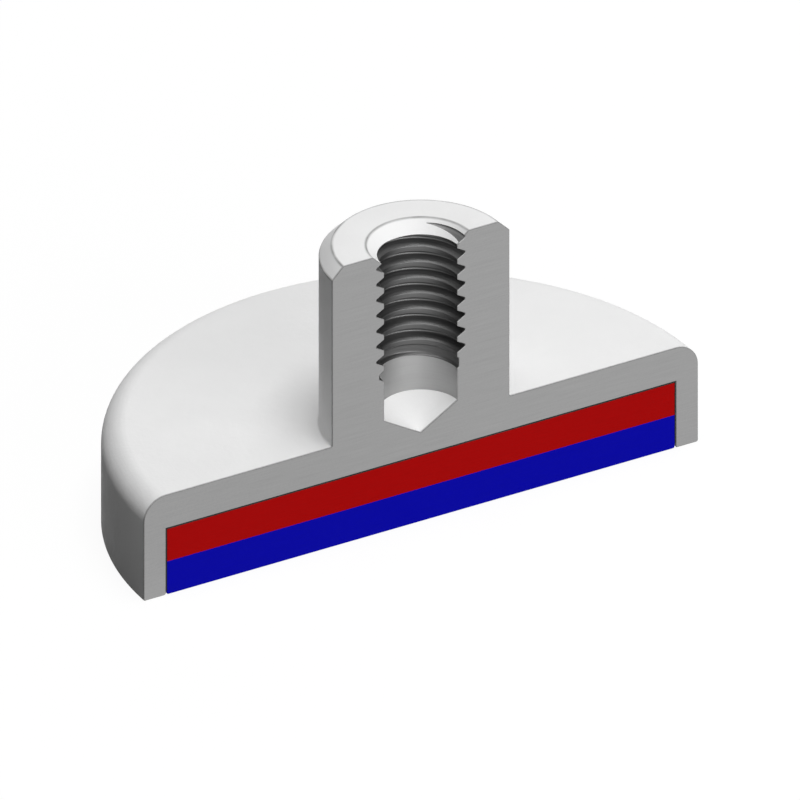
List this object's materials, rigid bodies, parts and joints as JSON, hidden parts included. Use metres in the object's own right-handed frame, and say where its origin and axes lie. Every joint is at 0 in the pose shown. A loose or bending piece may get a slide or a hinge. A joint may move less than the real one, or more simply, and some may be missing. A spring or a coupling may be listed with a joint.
{
  "type": "cutaway pot magnet",
  "caption": "Flat pot magnet with a tapped stem, cut in half through its axis to show the steel cup, the disc magnet and the blind threaded hole.",
  "frame": {"origin": "on the turning axis, where the plane of the cut meets the holding face", "axes": "+Z along the turning axis from the holding face to the stem's end, +X along the cut face, +Y from the cut face into the half that is kept"},
  "size_m": [0.025, 0.0125, 0.0125],
  "materials": {
    "coated_steel": "satin",
    "magnet": "satin",
    "adhesive": "matte"
  },
  "bodies": {
    "root": {"pot": "coated_steel", "magnet": "magnet", "adhesive": "adhesive"}
  },
  "joints": []
}
